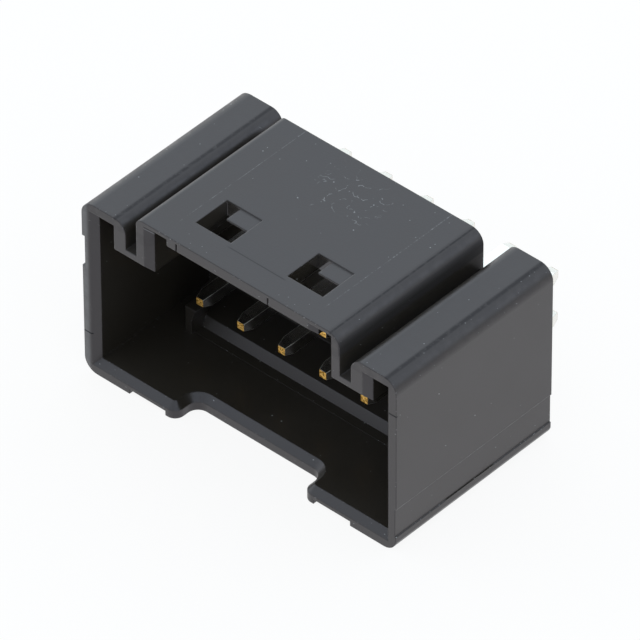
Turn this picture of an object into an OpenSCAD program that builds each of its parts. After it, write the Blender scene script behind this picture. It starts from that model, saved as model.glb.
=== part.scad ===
// Shrouded wire-to-board header, two rows of square contacts in a moulded housing.
// It lies on its long lower wall: +X along the rows, +Y from the mouth to the board, +Z up.
// The origin is at the middle of the whole part's footprint, on the lower wall's face.

/* [Contacts] */
// Contacts in each row
columns = 6; // [5:1:20]
// Distance between neighbouring contacts of a row
pitch = 2.5; // [2:0.1:4]
// Distance between the two rows
row_pitch = 2.5; // [2:0.1:3]
// Height of the lower row above the face the part lies on
low_row_z = 3; // [2.8:0.05:3.3]
// Side of the square contact wire
wire = 0.64; // [0.5:0.02:0.8]
// Depth of the contact tips behind the mouth
tip_depth = 4.25; // [4.1:0.05:5]
// Length of the solder tails past the board seat
tail_len = 3.85; // [2.5:0.05:5]
// Width of the flat at each end of a contact
wire_end = 0.41; // [0.3:0.01:0.45]
// Length of the tapered lead at the mating tip
tip_taper = 0.5; // [0.3:0.05:0.8]
// Length of the tapered lead at the solder tail
tail_taper = 0.4; // [0.2:0.05:0.8]
// Clearance of a contact in its hole, on each side
hole_gap = 0.02; // [0.01:0.01:0.05]

/* [Housing] */
// Distance from the end contacts to the outer end faces
end_margin = 3.2; // [3:0.1:4]
// Height of the two end ridges
ridge_h = 10; // [9.5:0.1:11]
// Rise of the centre block above the ridges
centre_rise = 0.75; // [0.5:0.05:1]
// Depth of the centre block, from the mouth to the back of the base
block_depth = 9.6; // [9:0.1:11]
// Height of the stand-off feet that meet the board
foot_h = 0.88; // [0.4:0.02:1.5]
// Thickness of the base that holds the contacts
base_t = 2.1; // [1.5:0.1:2.5]
// Thickness of the side, lower and ridge walls
wall = 0.79; // [0.7:0.01:1]
// Width of the 45 degree lead-in round the mouth
lead_in = 0.34; // [0.2:0.02:0.4]
// Radius of the long outer edges
edge_r = 0.75; // [0.4:0.05:0.9]
// Radius of the centre block's edge on the tab side of the windows
block_r = 0.7; // [0.3:0.05:0.9]
// Radius of the centre block's other edge
block_left_r = 0.34; // [0.3:0.02:0.9]
// Thickness of the roof over the plug's latch
roof_t = 0.9; // [0.8:0.01:1]
// Thickness of the thin strips at both sides of that roof
strip_t = 0.53; // [0.5:0.01:0.7]
// Width of the thin strips
strip_w = 0.72; // [0.4:0.02:1]

/* [Key channels] */
// Width of each end ridge, from the end face to its channel
ridge_w = 2.68; // [2.4:0.02:2.8]
// Radius of the ridge edge beside the channel
ridge_r = 0.65; // [0.3:0.05:0.8]
// Width of the open channel
channel_w = 0.67; // [0.4:0.01:0.8]
// Depth of the channel below the ridge
channel_d = 1.48; // [1:0.02:1.8]
// Thickness of the channel floor
channel_floor_t = 0.67; // [0.5:0.01:0.8]
// Thickness of the channel wall on the ridge side
channel_outer_t = 1.03; // [0.9:0.01:1.1]
// Thickness of the channel wall on the centre side
channel_inner_t = 0.81; // [0.75:0.01:1]

/* [Latch windows] */
// Distance between the middles of the two windows
window_pitch = 5.5; // [4:0.1:6]
// Shift of both windows from the middle of the housing, to the left
window_shift = 0.1; // [0:0.02:0.2]
// Window size along the rows
window_w = 2.12; // [1.6:0.02:2.4]
// Window size from front to back
window_l = 2.08; // [1.6:0.02:2.4]
// Front edge of the windows behind the mouth
window_y = 1.57; // [1.2:0.01:2]
// Width of the tab left in the rear right corner of each window
tab_w = 1.3; // [0.8:0.02:1.4]
// Depth of that tab
tab_l = 0.95; // [0.6:0.05:1.2]
// Drop of the tab below the top face
tab_drop = 0.06; // [0.04:0.01:0.2]
// Thickness of the tab at its front edge, from where its underside slopes back at 45 degrees
tab_edge = 0.08; // [0.05:0.01:0.3]
// Distance from a window's left edge to the witness notch before it
witness_x = 0.2; // [0:0.02:0.6]
// Width of the witness notch in the roof edge before each window
witness_w = 0.1; // [0.06:0.01:0.15]
// Height and depth of the witness notch
witness_h = 0.42; // [0.2:0.02:0.5]

/* [Lower wall] */
// Width of the front notch at its parallel flanks
notch_w = 7.7; // [6:0.1:8]
// Depth of the front notch
notch_d = 1.41; // [1.2:0.01:1.6]
// Radius of the notch's outer corners
notch_outer_r = 0.5; // [0.4:0.05:0.6]
// Radius of the notch's inner corners
notch_inner_r = 0.6; // [0.4:0.05:0.7]
// Distance from the end faces to the relief grooves
relief_x = 2.75; // [2.4:0.05:3]
// Width of a relief groove
relief_w = 2.2; // [1.6:0.1:2.4]
// Depth of a relief groove
relief_d = 0.26; // [0.1:0.02:0.3]

/* [End faces] */
// Height of the recessed band in the right end
band_z = 0.9; // [0.9:0.01:1.4]
// Width of the band
band_h = 1.65; // [1:0.01:2]
// Depth of the band
band_d = 0.07; // [0.04:0.01:0.1]
// Depth of the step below the band
toe_d = 0.02; // [0.01:0.01:0.04]
// Lower edge of the gate groove in the left end
gate_z = 6.15; // [5:0.05:6.5]
// Height of the gate groove
gate_h = 1.75; // [1:0.05:2]
// Depth of the gate groove
gate_d = 0.16; // [0.1:0.02:0.3]

/* [Inside ledge] */
// Front of the ledge below the lower row, behind the mouth
ledge_y = 4.95; // [4.6:0.05:5.2]
// Height of the ledge above the floor
ledge_h = 0.52; // [0.4:0.02:0.8]
// How far the ledge's front leans back over that height
ledge_lean = 0.28; // [0.1:0.02:0.5]
// Distance from the end faces to the ledge's ends
ledge_x = 2.3; // [2:0.05:2.6]
// Length of the low apron in front of the ledge
apron_l = 0.5; // [0.3:0.05:0.6]
// Height of the apron
apron_h = 0.03; // [0.02:0.01:0.12]
// Width of the rib at each end of the ledge
rib_w = 0.38; // [0.3:0.02:0.5]
// Width of the rib's head
rib_head_w = 0.64; // [0.5:0.02:0.8]
// Length of the ribs in front of the ledge
rib_l = 0.7; // [0.4:0.05:0.7]
// Height of the ribs above the floor
rib_h = 1.5; // [1:0.05:1.6]

/* [Hidden] */
$fn = 48;
over = 0.1;                                     // how far a cut runs past a face
half_l = (columns - 1) * pitch / 2 + end_margin;
top_h = ridge_h + centre_rise;
seat_y = block_depth + foot_h;                  // the board's face, behind the mouth
total_y = seat_y + tail_len;
cavity_d = block_depth - base_t;
channel_z = ridge_h - channel_d;                // floor of the channels
key_z = channel_z - channel_floor_t;            // underside of the key ribs
channel_x = half_l - ridge_w;                   // ridge side of a channel
centre_x = channel_x - channel_w;               // outer face of the centre block
key_out_x = channel_x + channel_outer_t;
key_in_x = centre_x - channel_inner_t;
latch_x = key_in_x - strip_w;                   // half width of the thick roof

// Extrudes an X-Z outline from y0 to y1
module along_y(y0, y1) translate([0, y1, 0]) rotate([90, 0, 0]) linear_extrude(y1 - y0) children();

// Extrudes a Y-Z outline from x0 to x1
module along_x(x0, x1) translate([x0, 0, 0]) rotate([90, 0, 90]) linear_extrude(x1 - x0) children();

// Copies its children to both ends of the housing
module both_ends() for (side = [0, 1]) mirror([side, 0, 0]) children();

// Rectangle with rounded corners
module round_rect(x0, x1, z0, z1, r) {
    translate([x0 + r, z0]) square([x1 - x0 - 2 * r, z1 - z0]);
    translate([x0, z0 + r]) square([x1 - x0, z1 - z0 - 2 * r]);
    for (x = [x0 + r, x1 - r], z = [z0 + r, z1 - r]) translate([x, z]) circle(r);
}

// What is cut from an outside corner of radius r, whose sharp corner is at the origin
module corner_cut(r) difference() {
    translate([-r, -r]) square(r + over);
    translate([-r, -r]) circle(r);
}

// Section of the housing along the rows: two ridges, two open channels and the raised centre,
// whose left and right halves overlap because their edges differ
module outer_section() difference() {
    union() {
        round_rect(-half_l, half_l, 0, ridge_h, edge_r);
        round_rect(-centre_x, centre_x / 2, key_z, top_h, block_left_r);
        round_rect(-centre_x / 2, centre_x, key_z, top_h, block_r);
    }
    both_ends() {
        translate([centre_x, channel_z]) square([channel_w, top_h]);
        translate([channel_x, ridge_h]) mirror([1, 0]) corner_cut(ridge_r);
    }
}

// Lead-in of a rectangular well: it widens by lead_in on all sides towards the mouth
module flare(x0, x1, z0, z1) {
    wide = lead_in + over;
    intersection() {
        translate([0, 0, z0 - wide]) linear_extrude(z1 - z0 + 2 * wide)
            polygon([[x0 - wide, -over], [x1 + wide, -over], [x1, lead_in], [x0, lead_in]]);
        along_x(x0 - wide, x1 + wide)
            polygon([[-over, z0 - wide], [-over, z1 + wide], [lead_in, z1], [lead_in, z0]]);
    }
}

// Rectangular part of the plug cavity, with its share of the lead-in
module well(x0, x1, z0, z1) {
    flare(x0, x1, z0, z1);
    along_y(-over, cavity_d) translate([x0, z0]) square([x1 - x0, z1 - z0]);
}

// The whole plug cavity: the well under the keys, and what rises between and beside them
module cavity() {
    low = key_z - wall;
    well(-half_l + wall, half_l - wall, wall, key_z);
    well(-key_in_x, key_in_x, low, top_h - roof_t);
    both_ends() {
        well(key_out_x, half_l - wall, low, ridge_h - wall);
        well(latch_x, key_in_x, low, top_h - strip_t);
    }
}

// Notch in the front of the lower wall, with its lead-in. Its corners turn through two arcs
module notch() {
    flank = notch_w / 2;
    inner_x = flank - notch_inner_r;
    inner_y = notch_d - notch_inner_r;
    edge_z = wall - lead_in;
    wide = lead_in + over;
    // between the flanks, up to where the inner arcs start
    along_y(-over, inner_y) polygon([
        [-flank, -over], [flank, -over], [flank, edge_z], [flank + wide, wall + over],
        [-flank - wide, wall + over], [-flank, edge_z]]);
    // back of the notch, between the inner arcs
    along_x(-inner_x, inner_x) polygon([
        [-over, -over], [notch_d, -over], [notch_d, edge_z],
        [notch_d + wide, wall + over], [-over, wall + over]]);
    both_ends() {
        translate([inner_x, inner_y, 0]) {
            translate([0, 0, -over]) cylinder(r = notch_inner_r, h = edge_z + over);
            translate([0, 0, edge_z]) cylinder(r1 = notch_inner_r, r2 = notch_inner_r + wide, h = wide);
        }
        // the outer corner keeps the round part and loses the rest
        translate([flank + notch_outer_r, notch_outer_r, 0]) difference() {
            translate([-notch_outer_r - over, -notch_outer_r - over, -over])
                cube([notch_outer_r + over, notch_outer_r + over, wall + 2 * over]);
            translate([0, 0, -2 * over]) cylinder(r = notch_outer_r, h = edge_z + 2 * over);
            translate([0, 0, edge_z]) cylinder(r1 = notch_outer_r, r2 = notch_outer_r - lead_in, h = lead_in);
            translate([0, 0, edge_z + lead_in - over / 2])
                cylinder(r = notch_outer_r - lead_in, h = 3 * over);
        }
    }
}

// Latch window through the roof. An undercut tab stays in its rear right corner, just below the top
module window() difference() {
    back = window_y + window_l + over;
    front = window_y + window_l - tab_l;
    edge_z = top_h - tab_drop;
    slope = roof_t + over;
    translate([-window_w / 2, window_y, top_h - roof_t - over])
        cube([window_w, window_l, roof_t + 2 * over]);
    along_x(window_w / 2 - tab_w, window_w / 2 + over) polygon([
        [front, edge_z], [back, edge_z], [back, edge_z - tab_edge - slope],
        [front + slope, edge_z - tab_edge - slope], [front, edge_z - tab_edge]]);
}

// Witness notch in the roof's front edge, near a window's left edge
module witness() translate([witness_x - window_w / 2, -over, top_h - roof_t + lead_in - over])
    cube([witness_w, witness_w + over, witness_h + over]);

// Step and recessed band low on the right end, and the gate groove in the left one
module end_steps() {
    deep = seat_y + 2 * over;
    translate([half_l - toe_d, -over, -over]) cube([toe_d + over, deep, band_z + 2 * over]);
    translate([half_l - band_d, -over, band_z]) cube([band_d + over, deep, band_h]);
    translate([-half_l - over, -over, gate_z]) cube([gate_d + over, deep, gate_h]);
}

// Relief grooves along the lower wall
module reliefs() both_ends() translate([half_l - relief_x - relief_w, -over, -over])
    cube([relief_w, seat_y + 2 * over, relief_d + over]);

// The base stands back from the board between the two feet
module foot_gap() translate([-channel_x, block_depth, -over])
    cube([2 * channel_x, foot_h + over, top_h + 2 * over]);

// Holes through the base for the contacts
module contact_holes() {
    side = wire + 2 * hole_gap;
    for (i = [0:columns - 1], row = [0, 1])
        translate([contact_x(i) - side / 2, cavity_d - over, contact_z(row) - side / 2])
            cube([side, base_t + 2 * over, side]);
}

// Ledge across the cavity floor with a leaning front, an apron before it and a rib at each end
module ledge() {
    x = half_l - ledge_x;
    sunk = wall / 2;
    back = cavity_d + over;
    translate([0, 0, wall]) {
        along_x(-x, x) polygon([
            [ledge_y - apron_l, -sunk], [ledge_y - apron_l, apron_h], [ledge_y, apron_h],
            [ledge_y + ledge_lean, ledge_h], [back, ledge_h], [back, -sunk]]);
        both_ends() along_y(ledge_y - rib_l, ledge_y + ledge_lean + over) translate([x, 0]) mirror([1, 0])
            polygon([[0, -sunk], [0, rib_h], [rib_head_w, rib_h], [rib_w, rib_h / 2], [rib_w, -sunk]]);
    }
}

function contact_x(i) = (i - (columns - 1) / 2) * pitch;
function contact_z(row) = low_row_z + row * row_pitch;

module housing() color([0.16, 0.17, 0.18]) translate([0, -total_y / 2, 0]) {
    difference() {
        along_y(0, seat_y) outer_section();
        foot_gap();
        cavity();
        notch();
        reliefs();
        end_steps();
        for (side = [-1, 1]) translate([side * window_pitch / 2 - window_shift, 0, 0]) {
            window();
            witness();
        }
        contact_holes();
    }
    ledge();
}

// Outline of a contact from its mating tip to its tail, of one side
module contact_outline() {
    a = wire / 2;
    b = wire_end / 2;
    polygon([
        [tip_depth, -b], [tip_depth + tip_taper, -a], [total_y - tail_taper, -a], [total_y, -b],
        [total_y, b], [total_y - tail_taper, a], [tip_depth + tip_taper, a], [tip_depth, b]]);
}

// Square contact: the same outline seen from above and from the side
module contact(i, row) color([0.83, 0.66, 0.3])
    translate([contact_x(i), -total_y / 2, contact_z(row)]) intersection() {
        along_x(-wire, wire) contact_outline();
        translate([0, 0, -wire]) linear_extrude(2 * wire) mirror([1, -1]) contact_outline();
    }

housing();
for (i = [0:columns - 1]) {
    contact(i, 0);
    contact(i, 1);
}
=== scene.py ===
import bpy
from mathutils import Matrix, Vector


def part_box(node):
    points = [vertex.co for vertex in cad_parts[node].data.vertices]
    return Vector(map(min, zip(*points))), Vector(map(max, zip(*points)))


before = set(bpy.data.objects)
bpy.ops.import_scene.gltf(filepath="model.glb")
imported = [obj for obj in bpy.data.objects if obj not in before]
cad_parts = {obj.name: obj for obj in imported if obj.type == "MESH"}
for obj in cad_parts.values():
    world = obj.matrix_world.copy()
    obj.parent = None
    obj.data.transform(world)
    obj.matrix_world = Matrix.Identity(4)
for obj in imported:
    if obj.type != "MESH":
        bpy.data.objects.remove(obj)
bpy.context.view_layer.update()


# Housing: one moulding of black nylon with a little glass fibre, from a spark-eroded mould that
# gives every face a fine matt grain. The joints between the tool's slides leave thin lines of flash,
# painted pale as a highlight where they catch the light. Painted shade darkens where the shoulders
# start and the block's right side, and a painted highlight brightens the left end's front rim. Fibre
# ends and lint show as pale specks; close pale specks along the edges are a painted highlight.
def linear(code):
    """An sRGB hex colour as linear RGBA."""
    channels = [int(code[i:i + 2], 16) / 255 for i in (1, 3, 5)]
    return [c / 12.92 if c <= 0.04045 else ((c + 0.055) / 1.055) ** 2.4 for c in channels] + [1.0]


def node(tree, kind, settings=None, **sockets):
    """Adds a node with its settings. A socket, by name or as i0, i1, takes a value or a link."""
    made = tree.nodes.new(kind)
    for name, value in (settings or {}).items():
        setattr(made, name, value)
    for name, value in sockets.items():
        numbered = name[0] == "i" and name[1:].isdigit()
        socket = made.inputs[int(name[1:]) if numbered else name.replace("_", " ")]
        if isinstance(value, bpy.types.NodeSocket):
            tree.links.new(value, socket)
        else:
            socket.default_value = value
    return made


def near(tree, value, centre, half, soft):
    """A mask: 1 where a value is within half of centre, falling to 0 over soft."""
    away = node(tree, "ShaderNodeMath", {"operation": "SUBTRACT"}, i0=value, i1=centre).outputs[0]
    away = node(tree, "ShaderNodeMath", {"operation": "ABSOLUTE"}, i0=away).outputs[0]
    return node(tree, "ShaderNodeMapRange", {"interpolation_type": "SMOOTHSTEP"}, Value=away,
                From_Min=half, From_Max=half + soft, To_Min=1.0, To_Max=0.0).outputs[0]


def times(tree, *masks):
    """One mask for where several meet. A plain number weakens it."""
    made = masks[0]
    for mask in masks[1:]:
        made = node(tree, "ShaderNodeMath", {"operation": "MULTIPLY"}, i0=made, i1=mask).outputs[0]
    return made


def either(tree, *masks):
    """One mask for where any of several is."""
    made = masks[0]
    for mask in masks[1:]:
        made = node(tree, "ShaderNodeMath", {"operation": "MAXIMUM"}, i0=made, i1=mask).outputs[0]
    return made


def sharp_edge_mask(tree, rounded):
    """A mask of the sharp edges, where the rounded normal leaves the true one."""
    true = node(tree, "ShaderNodeNewGeometry").outputs["Normal"]
    turn = node(tree, "ShaderNodeVectorMath", {"operation": "DOT_PRODUCT"}, i0=rounded, i1=true)
    return node(tree, "ShaderNodeMapRange", Value=turn.outputs["Value"],
                From_Min=0.99, From_Max=0.85).outputs[0]


def specks(tree, sheet, per_mm, empty, smallest, largest):
    """Round specks in some cells of a flat pattern: empty is the share of cells without one."""
    cells = node(tree, "ShaderNodeTexVoronoi", {"voronoi_dimensions": "2D"}, Vector=sheet,
                 Scale=per_mm, Randomness=1.0).outputs
    chance = node(tree, "ShaderNodeSeparateColor", Color=cells["Color"]).outputs
    picked = node(tree, "ShaderNodeMath", {"operation": "GREATER_THAN"}, i0=chance[0], i1=empty).outputs[0]
    radius = node(tree, "ShaderNodeMapRange", Value=chance[1], To_Min=smallest, To_Max=largest).outputs[0]
    dot = node(tree, "ShaderNodeMapRange", {"interpolation_type": "SMOOTHSTEP"}, Value=cells["Distance"],
               From_Min=0.0, From_Max=radius, To_Min=1.0, To_Max=0.0).outputs[0]
    strong = node(tree, "ShaderNodeMapRange", Value=chance[2], To_Min=0.2, To_Max=1.0).outputs[0]
    return times(tree, dot, picked, strong)


# places on the housing, in mm, as all lengths of its patterns are
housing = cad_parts["housing"]
housing_low, housing_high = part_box("housing")
mouth = housing_low.y * 1000
left_end = housing_low.x * 1000
right_end = housing_high.x * 1000
roof = housing_high.z * 1000                    # top of the centre block
ridge = roof - 0.75                             # top of the two end ridges
block_side = 6.1                                # right side of the centre block, from the middle
window_x = 0.1                                  # the middle between the two latch windows
window_y = mouth + 2.6

nylon = bpy.data.materials.new("nylon_black_spark_eroded_grain")
nylon.use_nodes = True
tree = nylon.node_tree
tree.nodes.clear()
here = node(tree, "ShaderNodeTexCoord").outputs["Object"]
mm = node(tree, "ShaderNodeMapping", Vector=here, Scale=(1000, 1000, 1000)).outputs[0]
axis = node(tree, "ShaderNodeSeparateXYZ", Vector=mm).outputs

# edges are rounded by 0.08 mm, and the left end's are blunter. The windows, and the step of the
# ledge in the cavity, are sharp
at_left_end = near(tree, axis["X"], left_end, 0.4, 0.1)
at_ledge = times(tree, near(tree, axis["Y"], mouth + 5.0, 1.5, 0.2), near(tree, axis["Z"], 0.9, 0.2, 0.05))
in_window = times(tree, near(tree, axis["X"], window_x, 3.9, 0.1), near(tree, axis["Y"], window_y, 1.2, 0.1),
                  near(tree, axis["Z"], roof - 0.55, 0.4, 0.04))
blunt = node(tree, "ShaderNodeMapRange", Value=at_left_end, To_Min=0.00008, To_Max=0.0003).outputs[0]
blunt = node(tree, "ShaderNodeMapRange", Value=either(tree, at_ledge, in_window),
             To_Min=blunt, To_Max=0.0).outputs[0]
rounded = node(tree, "ShaderNodeBevel", {"samples": 8}, Radius=blunt).outputs[0]
edge = sharp_edge_mask(tree, node(tree, "ShaderNodeBevel", {"samples": 4}, Radius=0.00016).outputs[0])

# cloudiness about 3 mm across, mottling of 0.4 mm and the eroded grain, of 0.09 mm
cloud = node(tree, "ShaderNodeTexNoise", Vector=mm, Scale=0.35, Detail=3.0).outputs["Fac"]
mottle = node(tree, "ShaderNodeTexNoise", Vector=mm, Scale=2.6, Detail=3.0, Roughness=0.6).outputs["Fac"]
grain = node(tree, "ShaderNodeTexNoise", Vector=mm, Scale=11.0, Detail=3.0, Roughness=0.6).outputs["Fac"]

# fibre ends and lint: specks of 0.05 to 0.11 mm, sparse in cells of 0.48 mm, with more of them on the
# ridges' rounded shoulders and behind the lip. Close specks in cells of 0.18 mm along the sharp edges are
# a painted highlight, for the light that the edges catch. The pattern is a sheet laid over the part,
# which runs on over the shoulders and the lip
outward = node(tree, "ShaderNodeMath", {"operation": "ABSOLUTE"}, i0=axis["X"]).outputs[0]
across = node(tree, "ShaderNodeMath", {"operation": "SUBTRACT"}, i0=outward, i1=axis["Z"]).outputs[0]
along = node(tree, "ShaderNodeMath", {"operation": "ADD"}, i0=axis["Y"], i1=axis["Z"]).outputs[0]
sheet = node(tree, "ShaderNodeCombineXYZ", X=across, Y=along).outputs[0]
shoulder = near(tree, axis["Z"], ridge - 0.32, 0.25, 0.1)
upper = node(tree, "ShaderNodeMapRange", Value=axis["Z"],
             From_Min=ridge - 0.5, From_Max=ridge - 0.3).outputs[0]
lip_band = times(tree, near(tree, axis["Y"], mouth + 0.3, 0.3, 0.6), upper)
busy = either(tree, times(tree, shoulder, 0.7), lip_band)
empty = node(tree, "ShaderNodeMapRange", Value=busy, To_Min=0.93, To_Max=0.78).outputs[0]
empty_edge = node(tree, "ShaderNodeMapRange", Value=edge, To_Min=1.0, To_Max=0.65).outputs[0]
lint_and_edge_highlight = either(tree, specks(tree, sheet, 2.1, empty, 0.05, 0.12),
               specks(tree, sheet, 5.5, empty_edge, 0.12, 0.30))

# slide joints: two broken lines of flash from behind the lip to the rear on the block's top, the right
# one crumbled into dots of 0.1 mm, and one line along the right end. The flash is real, and its pale
# colour is a painted highlight, for the light it catches
left_joint_x = -4.505
right_joint_x = 4.245
end_joint_z = 2.57
on_roof = node(tree, "ShaderNodeMapRange", Value=axis["Z"],
               From_Min=roof - 0.03, From_Max=roof - 0.01).outputs[0]
behind_lip = node(tree, "ShaderNodeMapRange", Value=axis["Y"],
                  From_Min=mouth + 1.1, From_Max=mouth + 1.4).outputs[0]
on_right_end = node(tree, "ShaderNodeMapRange", Value=axis["X"],
                    From_Min=right_end - 0.09, From_Max=right_end - 0.07).outputs[0]
breaks = node(tree, "ShaderNodeTexNoise", Vector=mm, Scale=3.2, Detail=4.0, Roughness=0.7).outputs["Fac"]
broken = node(tree, "ShaderNodeMapRange", Value=breaks, From_Min=0.42, From_Max=0.66).outputs[0]
dots = node(tree, "ShaderNodeTexNoise", Vector=mm, Scale=9.0, Detail=2.0).outputs["Fac"]
crumbs = node(tree, "ShaderNodeMapRange", Value=dots, From_Min=0.50, From_Max=0.72,
              To_Min=0.25, To_Max=2.5).outputs[0]
left_joint = near(tree, axis["X"], left_joint_x, 0.004, 0.025)
right_joint = times(tree, near(tree, axis["X"], right_joint_x, 0.006, 0.035), crumbs)
joint_flash_and_glint = times(tree, either(tree, left_joint, right_joint), broken, on_roof, behind_lip)
end_flash_and_glint = times(tree, near(tree, axis["Z"], end_joint_z, 0.004, 0.03), broken, on_right_end)

# painted shade: a dark line where a shoulder starts, on both ridges and on the block, broken in places
left_shade_x = -7.40
right_shade_x = 8.85
block_shade_x = block_side - 0.55
on_ridge = node(tree, "ShaderNodeMapRange", Value=axis["Z"],
                From_Min=ridge - 0.09, From_Max=ridge - 0.06).outputs[0]
on_block = node(tree, "ShaderNodeMapRange", Value=axis["Z"],
                From_Min=roof - 0.15, From_Max=roof - 0.10).outputs[0]
uneven_shade = node(tree, "ShaderNodeMapRange", Value=breaks, From_Min=0.3, From_Max=0.5, To_Min=0.4).outputs[0]
left_ridge_shade = near(tree, axis["X"], left_shade_x, 0.03, 0.15)
right_ridge_shade = near(tree, axis["X"], right_shade_x, 0.03, 0.15)
both_ridges_shade = times(tree, either(tree, left_ridge_shade, right_ridge_shade), on_ridge)
block_top_shade = times(tree, near(tree, axis["X"], block_shade_x, 0.02, 0.06), on_block)
shoulder_shade = times(tree, either(tree, both_ridges_shade, block_top_shade), uneven_shade)

# short dark nicks at the mouth, in the left wall and in the right, and a faint line behind the lip
left_wall = -9.2
right_wall = 8.95
left_nick_z = 2.28
right_nick_z = 8.05
in_left_wall = near(tree, axis["X"], left_wall, 0.25, 0.05)
in_right_wall = node(tree, "ShaderNodeMapRange", Value=axis["X"],
                     From_Min=right_wall, From_Max=right_wall + 0.05).outputs[0]
left_nick = times(tree, near(tree, axis["Z"], left_nick_z, 0.015, 0.04), in_left_wall)
right_nick = times(tree, near(tree, axis["Z"], right_nick_z, 0.015, 0.04), in_right_wall)
nick = times(tree, either(tree, left_nick, right_nick), near(tree, axis["Y"], mouth, 0.05, 0.05))
lip_line = times(tree, near(tree, axis["Y"], mouth + 1.3, 0.01, 0.04),
                 near(tree, axis["X"], 0.0, 1.5, 0.4), on_roof)

# the shoulders are patchy, and painted shade darkens the block's right side along the foot of its
# shoulder, where the right ridge keeps the light off
block_shoulder = times(tree, near(tree, axis["X"], block_side - 0.25, 0.3, 0.2),
                       near(tree, axis["Z"], roof - 0.35, 0.3, 0.05))
patches = node(tree, "ShaderNodeMapRange", Value=mottle, From_Min=0.40, From_Max=0.55).outputs[0]
patchy = times(tree, either(tree, shoulder, block_shoulder), patches)
block_flank_shade = times(tree, near(tree, axis["X"], block_side, 0.04, 0.1),
                  near(tree, axis["Z"], roof - 0.7, 0.3, 0.25))
dark = either(tree, times(tree, shoulder_shade, 0.6), nick, times(tree, lip_line, 0.5), times(tree, patchy, 0.15),
              times(tree, block_flank_shade, 0.5))

# rubs: short curled pale hairlines on the middle of the top, where the part slid on others in its bag
curls = node(tree, "ShaderNodeTexNoise", Vector=mm, Scale=1.1, Detail=2.5).outputs["Fac"]
stroke = times(tree, near(tree, curls, 0.5, 0.002, 0.012), near(tree, mottle, 0.60, 0.06, 0.05))
rub_place = times(tree, near(tree, axis["X"], 0.0, 1.0, 1.4),
                  near(tree, axis["Y"], mouth + 7.4, 0.8, 1.2), on_roof)
rub = times(tree, stroke, rub_place)

# a painted highlight along the left end's front edge, about 0.3 mm wide, for the light on its rounding
ragged = node(tree, "ShaderNodeMapRange", Value=mottle, From_Min=0.3, From_Max=0.6, To_Min=0.6).outputs[0]
left_rim_highlight = times(tree, near(tree, axis["X"], left_end, 0.22, 0.22),
            near(tree, axis["Y"], mouth, 0.06, 0.1), ragged)

# pale: rubs and lint, with painted highlights on the flash, the left rim and the edges
pale = either(tree, times(tree, left_rim_highlight, 0.11), times(tree, joint_flash_and_glint, 0.16), times(tree, end_flash_and_glint, 0.10),
              times(tree, rub, 0.22), times(tree, lint_and_edge_highlight, 0.6))
tone = node(tree, "ShaderNodeMix", {"data_type": "RGBA"}, Factor=cloud,
            A=linear("#28241f"), B=linear("#322e28")).outputs["Result"]
marked_and_lit = node(tree, "ShaderNodeMix", {"data_type": "RGBA"}, Factor=pale,
              A=tone, B=linear("#d4d6d8")).outputs["Result"]

# the painted shade at the shoulders and on the block's side, with the nicks, the lip line and the
# patches, is darker and far rougher than the face. The shut-offs that cut the windows are polished, so
# the windows' walls mirror the dark inside
colour = node(tree, "ShaderNodeMix", {"data_type": "RGBA"}, Factor=dark,
              A=marked_and_lit, B=linear("#050505")).outputs["Result"]
rough = node(tree, "ShaderNodeMapRange", Value=cloud, From_Min=0.3, From_Max=0.7,
             To_Min=0.30, To_Max=0.38).outputs[0]
rough = node(tree, "ShaderNodeMapRange", Value=in_window, To_Min=rough, To_Max=0.08).outputs[0]
rough = node(tree, "ShaderNodeMapRange", Value=dark, To_Min=rough, To_Max=0.95).outputs[0]
relief = node(tree, "ShaderNodeMath", {"operation": "ADD"},
              i0=times(tree, grain, 0.5), i1=times(tree, joint_flash_and_glint, 0.3)).outputs[0]
bump = node(tree, "ShaderNodeBump", Strength=0.35, Distance=0.00002,
            Height=relief, Normal=rounded).outputs[0]
shader = node(tree, "ShaderNodeBsdfPrincipled", Base_Color=colour, Roughness=rough, IOR=1.6,
              Specular_Tint=linear("#f2f0ff"), Normal=bump)
node(tree, "ShaderNodeOutputMaterial", Surface=shader.outputs[0])
housing.data.materials.clear()
housing.data.materials.append(nylon)


# Contacts: square brass wire, tinned in the coil, so that tin covers its sides and its coined
# leads, while the two cut ends show the bare brass. They are pressed into the base from behind.
contacts = [piece for name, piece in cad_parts.items() if name.startswith("contact_")]
contact_low, contact_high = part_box("contact_a1")

tinned = bpy.data.materials.new("tinned_brass_wire_with_bare_ends")
tinned.use_nodes = True
tree = tinned.node_tree
tree.nodes.clear()
here = node(tree, "ShaderNodeTexCoord").outputs["Object"]
mm = node(tree, "ShaderNodeMapping", Vector=here, Scale=(1000, 1000, 1000)).outputs[0]
axis = node(tree, "ShaderNodeSeparateXYZ", Vector=mm).outputs
rounded = node(tree, "ShaderNodeBevel", {"samples": 8}, Radius=0.00006).outputs[0]
rubbed_edge_and_shade = sharp_edge_mask(tree, rounded)
# the cut ends are torn, with a grain of 0.1 mm, and stained; along their rims painted shade makes the brass
# darker
cut_tip = near(tree, axis["Y"], contact_low.y * 1000, 0.004, 0.006)
cut_tail = near(tree, axis["Y"], contact_high.y * 1000, 0.004, 0.006)
cut = either(tree, cut_tip, cut_tail)
torn = node(tree, "ShaderNodeTexNoise", Vector=mm, Scale=9.0, Detail=3.0).outputs["Fac"]
stained = node(tree, "ShaderNodeMapRange", Value=torn, From_Min=0.47, From_Max=0.62).outputs[0]
stain_and_rim_shade = times(tree, cut, either(tree, stained, rubbed_edge_and_shade))
clean = node(tree, "ShaderNodeMix", {"data_type": "RGBA"}, Factor=cut,
             A=linear("#efeee9"), B=linear("#ffd67e")).outputs["Result"]
colour = node(tree, "ShaderNodeMix", {"data_type": "RGBA"}, Factor=stain_and_rim_shade,
              A=clean, B=linear("#a87a30")).outputs["Result"]
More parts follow.
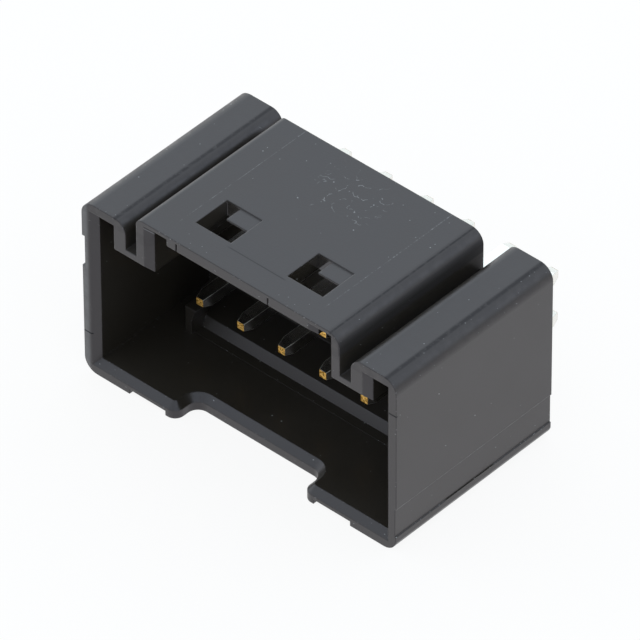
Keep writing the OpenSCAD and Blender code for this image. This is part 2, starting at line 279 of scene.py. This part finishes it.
# the tin is smooth, dull where the coining tool has rubbed its edges, and the cuts are dull too
dull = either(tree, cut, times(tree, rubbed_edge_and_shade, 0.7))
rough = node(tree, "ShaderNodeMapRange", Value=dull, To_Min=0.2, To_Max=0.65).outputs[0]
bump = node(tree, "ShaderNodeBump", Strength=0.6, Distance=0.00005,
            Height=times(tree, torn, cut), Normal=rounded).outputs[0]
shader = node(tree, "ShaderNodeBsdfPrincipled", Base_Color=colour, Metallic=1.0,
              Roughness=rough, Normal=bump)
node(tree, "ShaderNodeOutputMaterial", Surface=shader.outputs[0])
for contact in contacts:
    contact.data.materials.clear()
    contact.data.materials.append(tinned)


# Table: a smooth sheet of white coated paper under the part, 4 m wide so that it fills every view.
# Seen directly or in a reflection it is mostly its own white, and it keeps part of the shadow.
table_mesh = bpy.data.meshes.new("table_sheet")
half = 2.0
corners = [(-half, -half, 0), (half, -half, 0), (half, half, 0), (-half, half, 0)]
table_mesh.from_pydata(corners, [], [(0, 1, 2, 3)])
table = bpy.data.objects.new("table_sheet", table_mesh)
bpy.context.collection.objects.link(table)
coated = bpy.data.materials.new("white_coated_paper")
coated.use_nodes = True
tree = coated.node_tree
tree.nodes.clear()
paper = node(tree, "ShaderNodeBsdfPrincipled", Base_Color=linear("#f4f4f4"), Roughness=0.9)
lit = node(tree, "ShaderNodeEmission", Color=linear("#ffffff"), Strength=1.0)
ray = node(tree, "ShaderNodeLightPath").outputs
seen = either(tree, ray["Is Camera Ray"], ray["Is Glossy Ray"], ray["Is Transmission Ray"])
mixed = node(tree, "ShaderNodeMixShader", i0=times(tree, seen, 0.9), i1=paper.outputs[0], i2=lit.outputs[0])
node(tree, "ShaderNodeOutputMaterial", Surface=mixed.outputs[0])
table_mesh.materials.append(coated)


# Light: a white tent. A ring of soft boxes stands at 20 to 45 degrees all round, the top of the
# tent is a little darker, and the gap above the table is dim.
world = bpy.data.worlds.new("light_tent")
world.use_nodes = True
tree = world.node_tree
tree.nodes.clear()
towards = node(tree, "ShaderNodeTexCoord").outputs["Generated"]
way = node(tree, "ShaderNodeSeparateXYZ", Vector=towards).outputs
tent = node(tree, "ShaderNodeValToRGB", Fac=way["Z"])
stops = tent.color_ramp.elements
# the height up the tent, from 0 at the table to 1 overhead, and the light's colour there
for height, shade in ((0.0, (0.31, 0.31, 0.31)), (0.20, (0.38, 0.39, 0.39)), (0.36, (0.91, 1.02, 1.09)),
                      (0.70, (0.91, 1.02, 1.09)), (0.79, (0.56, 0.62, 0.66)), (1.0, (0.62, 0.69, 0.74))):
    stop = stops[0] if height == 0.0 else stops[-1] if height == 1.0 else stops.new(height)
    stop.position = height
    stop.color = (*shade, 1)
# the left side has a box down to the table, and the camera's side is open and dimmer
on_left = node(tree, "ShaderNodeMapRange", Value=way["X"], From_Min=-0.4, From_Max=-0.8).outputs[0]
low_down = node(tree, "ShaderNodeMapRange", Value=way["Z"], From_Min=0.5, From_Max=0.36).outputs[0]
boxes = node(tree, "ShaderNodeMix", {"data_type": "RGBA"}, Factor=times(tree, on_left, low_down),
             A=tent.outputs["Color"], B=(1.1, 1.15, 1.16, 1)).outputs["Result"]
level = node(tree, "ShaderNodeMapRange", Value=way["Y"], From_Min=-0.8, From_Max=-0.3,
             To_Min=0.95, To_Max=1.4).outputs[0]
lamps = node(tree, "ShaderNodeBackground", Color=boxes, Strength=level)
# what the camera sees past the table is plain white
plain = node(tree, "ShaderNodeBackground", Color=linear("#ffffff"), Strength=1.0)
ray = node(tree, "ShaderNodeLightPath").outputs
sky = node(tree, "ShaderNodeMixShader", i0=ray["Is Camera Ray"], i1=lamps.outputs[0], i2=plain.outputs[0])
node(tree, "ShaderNodeOutputWorld", Surface=sky.outputs[0])
bpy.context.scene.world = world


# Camera: a long lens 0.46 m away, 42 degrees to the right of the mouth and 41 degrees up, with no
# depth of field. It follows the mouth, so that the part stays in the frame if its depth changes.
camera = bpy.data.cameras.new("camera")
camera.sensor_width = 36
camera.lens = 578.025
camera.clip_start = 0.05
camera.clip_end = 10
viewer = bpy.data.objects.new("camera", camera)
bpy.context.collection.objects.link(viewer)
right = Vector((0.7429067, 0.6693861, -0.0034336))
up = Vector((-0.4357310, 0.4874698, 0.7566450))
back = Vector((0.5081614, -0.5606206, 0.6538169))
distance = 0.4615
aim = Vector((0.000112, housing_low.y + 0.005339, 0.004898))
viewer.matrix_world = Matrix((right, up, back)).transposed().to_4x4()
viewer.matrix_world.translation = aim + back * distance
bpy.context.scene.camera = viewer
bpy.context.scene.view_settings.view_transform = "Standard"
